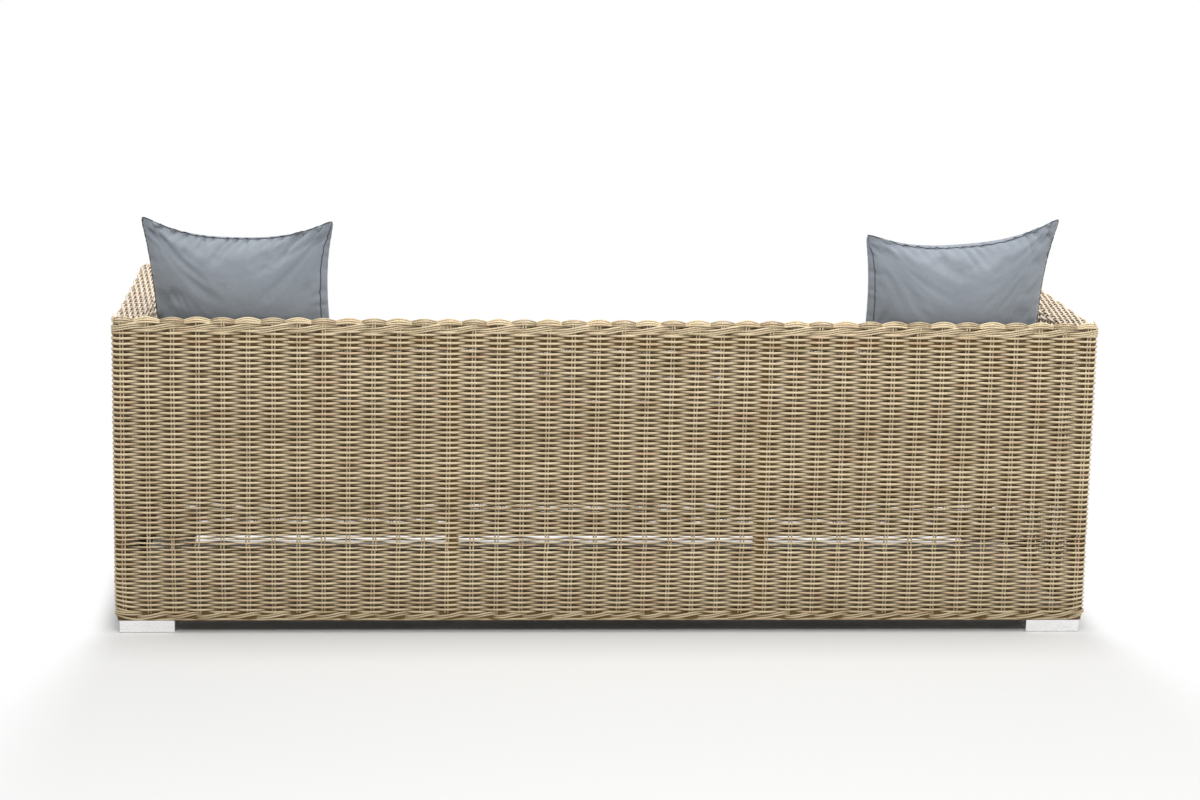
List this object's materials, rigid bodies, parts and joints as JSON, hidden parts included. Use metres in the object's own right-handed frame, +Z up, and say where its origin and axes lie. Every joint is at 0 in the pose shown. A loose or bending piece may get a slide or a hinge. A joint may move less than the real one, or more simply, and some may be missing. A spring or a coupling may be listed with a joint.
{
  "type": "garden sofa",
  "caption": "Low rattan garden sofa with a square aluminium frame under round-strand weave, arms as high as the back, loose seat cushions and scatter pillows",
  "frame": {"origin": "on the floor, under the middle of the sofa's box", "axes": "+Z up, the sofa faces -Y, +X to the left hand of a person who sits on it"},
  "size_m": [2.1, 0.8, 0.8785],
  "materials": {
    "frame": "brown-grey powder coat on square aluminium tube",
    "strand": "round plastic rattan strand, straw to brown, satin",
    "cloth": "plain woven outdoor cloth, blue grey",
    "foot": "bright brushed",
    "glide": "black moulded",
    "bolt": "plain zinc"
  },
  "bodies": {
    "body": {"back_top_tube": "frame", "back_bottom_tube": "frame", "back_upright_left": "frame", "back_upright_right": "frame", "seat_front_tube": "frame", "front_bottom_tube": "frame", "seat_back_tube": "frame", "seat_cross_tube_1": "frame", "seat_cross_tube_2": "frame", "seat_cross_tube_3": "frame", "rear_post_left": "frame", "rear_post_right": "frame", "front_post_left": "frame", "front_post_right": "frame", "inner_post_left": "frame", "inner_post_right": "frame", "arm_top_outer_tube_left": "frame", "arm_top_outer_tube_right": "frame", "arm_bottom_tube_left": "frame", "arm_bottom_tube_right": "frame", "arm_top_inner_tube_left": "frame", "arm_top_inner_tube_right": "frame", "arm_seat_tube_left": "frame", "arm_seat_tube_right": "frame", "back_outer_weave": "strand", "back_inner_weave": "strand", "back_top_border": "strand", "back_hem": "strand", "front_hem": "strand", "arm_hem_left": "strand", "arm_hem_right": "strand", "front_apron_weave": "strand", "seat_deck_weave": "strand", "arm_outer_weave_left": "strand", "arm_outer_weave_right": "strand", "arm_inner_weave_left": "strand", "arm_inner_weave_right": "strand", "arm_front_weave_left": "strand", "arm_front_weave_right": "strand", "arm_top_weave_left": "strand", "arm_top_weave_right": "strand", "foot_rear_left": "foot", "foot_rear_right": "foot", "foot_front_left": "foot", "foot_front_right": "foot", "foot_glide_rear_left": "glide", "foot_glide_rear_right": "glide", "foot_glide_front_left": "glide", "foot_glide_front_right": "glide", "foot_bolt_rear_left": "bolt", "foot_bolt_rear_right": "bolt", "foot_bolt_front_left": "bolt", "foot_bolt_front_right": "bolt"},
    "seat_cushion_left": {"seat_cushion_left": "cloth"},
    "seat_cushion_middle": {"seat_cushion_middle": "cloth"},
    "seat_cushion_right": {"seat_cushion_right": "cloth"},
    "pillow_left": {"pillow_left": "cloth"},
    "pillow_right": {"pillow_right": "cloth"}
  },
  "joints": [
    {"name": "seat_cushion_left_lift", "type": "slide", "parent": "body", "child": "seat_cushion_left", "axis": [0, 0, 1], "range_m": [0, 0.25]},
    {"name": "seat_cushion_middle_lift", "type": "slide", "parent": "body", "child": "seat_cushion_middle", "axis": [0, 0, 1], "range_m": [0, 0.25]},
    {"name": "seat_cushion_right_lift", "type": "slide", "parent": "body", "child": "seat_cushion_right", "axis": [0, 0, 1], "range_m": [0, 0.25]},
    {"name": "pillow_left_lift", "type": "slide", "parent": "seat_cushion_left", "child": "pillow_left", "axis": [0, 0, 1], "range_m": [0, 0.25]},
    {"name": "pillow_right_lift", "type": "slide", "parent": "seat_cushion_right", "child": "pillow_right", "axis": [0, 0, 1], "range_m": [0, 0.25]}
  ]
}
